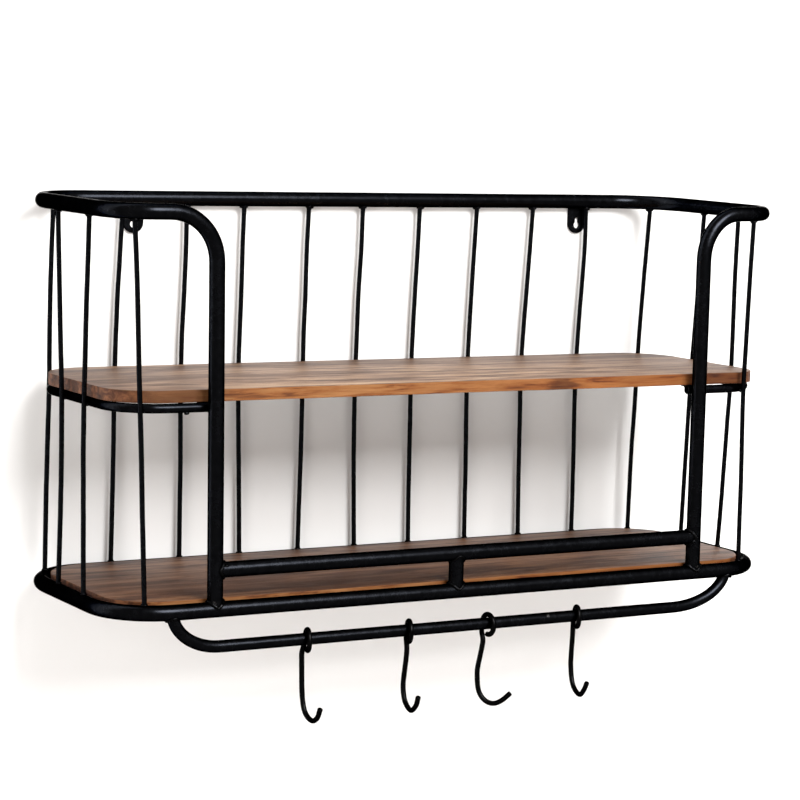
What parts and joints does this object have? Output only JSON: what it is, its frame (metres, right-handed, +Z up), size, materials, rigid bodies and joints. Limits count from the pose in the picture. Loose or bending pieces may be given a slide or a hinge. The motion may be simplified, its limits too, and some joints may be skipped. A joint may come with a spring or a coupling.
{
  "type": "wall shelf with hooks",
  "caption": "Wall-hung steel-tube and wire shelf with two wood boards, a gallery rail and a lower rail carrying loose wire hooks that slide and swing.",
  "frame": {"origin": "on the wall, at the middle of the lower frame, level with the holes of the hanger tabs, which stand 270.5 mm to its left and 286 mm to its right", "axes": "+X along the wall to the right as seen from the front, +Y into the wall, +Z up; the open front faces -Y"},
  "size_m": [0.803, 0.2792, 0.5251],
  "materials": {
    "black_steel": "satin",
    "mango_wood": "semi-gloss lacquer",
    "black_screw": "satin"
  },
  "bodies": {
    "shelf": {"top_frame_tube": "black_steel", "bottom_frame_tube": "black_steel", "middle_support_rod": "black_steel", "gallery_rail": "black_steel", "gallery_post": "black_steel", "hook_rail": "black_steel", "wire_front_left": "black_steel", "wire_side_left_front": "black_steel", "wire_side_left_rear": "black_steel", "wire_corner_left": "black_steel", "wire_back_1": "black_steel", "wire_back_2": "black_steel", "wire_back_3": "black_steel", "wire_back_4": "black_steel", "wire_back_5": "black_steel", "wire_back_6": "black_steel", "wire_back_7": "black_steel", "wire_back_8": "black_steel", "wire_back_9": "black_steel", "wire_corner_right": "black_steel", "wire_side_right_rear": "black_steel", "wire_side_right_front": "black_steel", "wire_front_right": "black_steel", "hanger_tab_left": "black_steel", "hanger_tab_right": "black_steel", "lug_middle_front_left": "black_steel", "lug_middle_front_right": "black_steel", "lug_middle_back_left": "black_steel", "lug_middle_back_right": "black_steel", "lug_lower_front_left": "black_steel", "lug_lower_front_right": "black_steel", "lug_lower_back_left": "black_steel", "lug_lower_back_right": "black_steel", "screw_middle_front_left": "black_screw", "screw_middle_front_right": "black_screw", "screw_middle_back_left": "black_screw", "screw_middle_back_right": "black_screw", "screw_lower_front_left": "black_screw", "screw_lower_front_right": "black_screw", "screw_lower_back_left": "black_screw", "screw_lower_back_right": "black_screw", "middle_board": "mango_wood", "lower_board": "mango_wood"},
    "hook_eye_1": {"hook_eye_1": "black_steel"},
    "hook_1": {"hook_shank_1": "black_steel"},
    "hook_eye_2": {"hook_eye_2": "black_steel"},
    "hook_2": {"hook_shank_2": "black_steel"},
    "hook_eye_3": {"hook_eye_3": "black_steel"},
    "hook_3": {"hook_shank_3": "black_steel"},
    "hook_eye_4": {"hook_eye_4": "black_steel"},
    "hook_4": {"hook_shank_4": "black_steel"}
  },
  "joints": [
    {"name": "hook_1_slide", "type": "slide", "parent": "shelf", "child": "hook_eye_1", "axis": [1, 0, 0], "range_m": [-0.057, 0.036]},
    {"name": "hook_1_swing", "type": "hinge", "parent": "hook_eye_1", "child": "hook_1", "pos_m": [-0.1831, -0.25, -0.40495], "axis": [-0.9613, 0.2756, 0], "range_deg": [-100, 150]},
    {"name": "hook_2_slide", "type": "slide", "parent": "shelf", "child": "hook_eye_2", "axis": [1, 0, 0], "range_m": [-0.037, 0.025]},
    {"name": "hook_2_swing", "type": "hinge", "parent": "hook_eye_2", "child": "hook_2", "pos_m": [-0.0655, -0.25, -0.40495], "axis": [-0.9511, 0.309, 0], "range_deg": [-100, 150]},
    {"name": "hook_3_slide", "type": "slide", "parent": "shelf", "child": "hook_eye_3", "axis": [1, 0, 0], "range_m": [-0.025, 0.032]},
    {"name": "hook_3_swing", "type": "hinge", "parent": "hook_eye_3", "child": "hook_3", "pos_m": [0.0298, -0.25, -0.40495], "axis": [-0.9994, -0.0349, 0], "range_deg": [-100, 150]},
    {"name": "hook_4_slide", "type": "slide", "parent": "shelf", "child": "hook_eye_4", "axis": [1, 0, 0], "range_m": [-0.034, 0.099]},
    {"name": "hook_4_swing", "type": "hinge", "parent": "hook_eye_4", "child": "hook_4", "pos_m": [0.1406, -0.25, -0.40495], "axis": [-0.9397, 0.342, 0], "range_deg": [-100, 150]}
  ]
}
